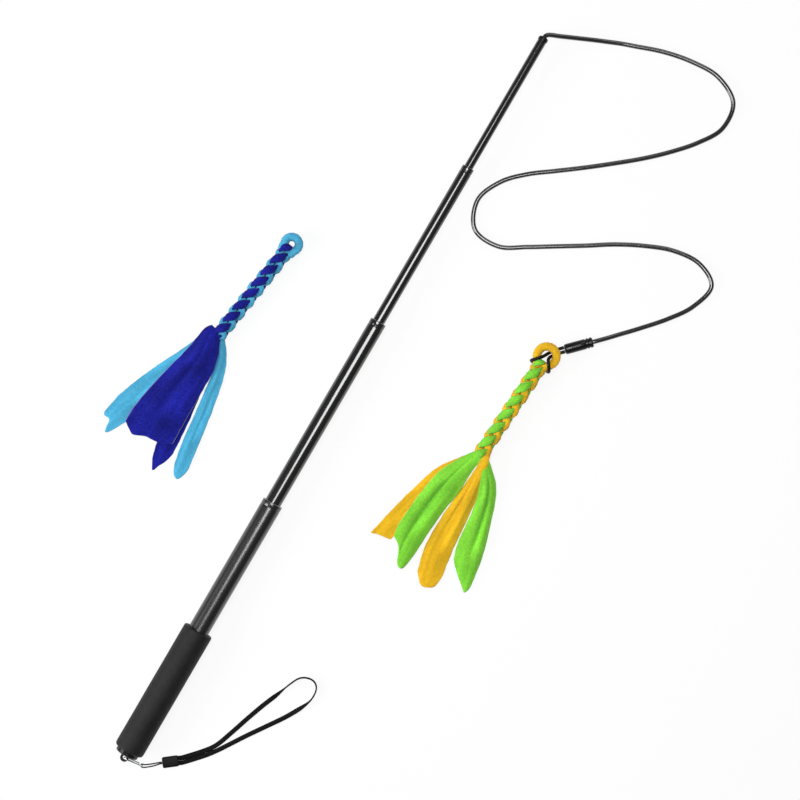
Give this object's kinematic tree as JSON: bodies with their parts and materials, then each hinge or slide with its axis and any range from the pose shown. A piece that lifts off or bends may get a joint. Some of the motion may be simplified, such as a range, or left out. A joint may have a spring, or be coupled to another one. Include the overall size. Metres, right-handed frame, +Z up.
{
  "type": "telescopic pet training rod",
  "caption": "Telescopic black rod with a foam grip, wrist strap and long bungee cord that ends in a looped-on braided fleece toy, with a spare fleece toy beside it.",
  "frame": {"origin": "middle of the footprint on the floor, measured without the cords and the strap", "axes": "+X along the rod from the butt to the tip, +Y to the side where the spare toy lies, +Z up"},
  "size_m": [0.9298, 0.4841, 0.032],
  "materials": {
    "foam": "closed-cell foam, matt",
    "painted_tube": "gloss black paint",
    "black_plastic": "moulded, satin",
    "bright_steel": "bright plated wire",
    "black_cord": "braided cover, slightly shiny",
    "black_webbing": "woven band",
    "lime_fleece": "brushed fleece",
    "orange_fleece": "brushed fleece",
    "dark_blue_fleece": "brushed fleece",
    "light_blue_fleece": "brushed fleece"
  },
  "bodies": {
    "handle": {"grip_sleeve": "foam", "handle_tube": "painted_tube", "butt_cap": "black_plastic"},
    "section_2": {"section_2_tube": "painted_tube", "section_2_bushing": "black_plastic"},
    "section_3": {"section_3_tube": "painted_tube", "section_3_bushing": "black_plastic"},
    "section_4": {"section_4_tube": "painted_tube", "section_4_bushing": "black_plastic", "tip_plug": "black_plastic", "cord_anchor": "black_cord", "bungee_cord": "black_cord", "cord_sleeve": "black_plastic"},
    "wrist_strap": {"strap_bail": "bright_steel", "strap_string": "black_cord", "strap_keeper": "black_plastic", "strap_loop": "black_webbing"},
    "play_toy": {"cord_end_loop": "black_cord", "play_toy_eye": "orange_fleece", "play_toy_strand_lime_1": "lime_fleece", "play_toy_strand_lime_2": "lime_fleece", "play_toy_strand_orange_1": "orange_fleece", "play_toy_strand_orange_2": "orange_fleece", "play_toy_streamer_lime_left": "lime_fleece", "play_toy_streamer_lime_right": "lime_fleece", "play_toy_streamer_orange_left": "orange_fleece", "play_toy_streamer_orange_centre": "orange_fleece"},
    "spare_toy": {"spare_toy_eye": "light_blue_fleece", "spare_toy_strand_dark_1": "dark_blue_fleece", "spare_toy_strand_dark_2": "dark_blue_fleece", "spare_toy_strand_light_1": "light_blue_fleece", "spare_toy_strand_light_2": "light_blue_fleece", "spare_toy_streamer_dark_front": "dark_blue_fleece", "spare_toy_streamer_dark_back": "dark_blue_fleece", "spare_toy_streamer_light_left": "light_blue_fleece", "spare_toy_streamer_light_right": "light_blue_fleece"}
  },
  "joints": [
    {"name": "section_2_slide", "type": "slide", "parent": "handle", "child": "section_2", "axis": [-1, 0, 0], "range_m": [0, 0.197], "deforming": ["bungee_cord"]},
    {"name": "section_3_slide", "type": "slide", "parent": "section_2", "child": "section_3", "axis": [-1, 0, 0], "range_m": [0, 0.178]},
    {"name": "section_4_slide", "type": "slide", "parent": "section_3", "child": "section_4", "axis": [-1, 0, 0], "range_m": [0, 0.125]},
    {"name": "strap_swing", "type": "hinge", "parent": "handle", "child": "wrist_strap", "pos_m": [-0.4296, 0.0106, 0.016], "axis": [0, 0, 1], "range_deg": [-75, 6], "deforming": ["strap_loop", "strap_string"]},
    {"name": "toy_swing", "type": "hinge", "parent": "section_4", "child": "play_toy", "pos_m": [0.1658, -0.1713, 0.0056], "axis": [0, 0, 1], "range_deg": [-15, 60], "deforming": ["cord_end_loop"]},
    {"name": "spare_toy_lift", "type": "slide", "parent": "handle", "child": "spare_toy", "axis": [0, 0, 1], "range_m": [0, 0.15]}
  ]
}
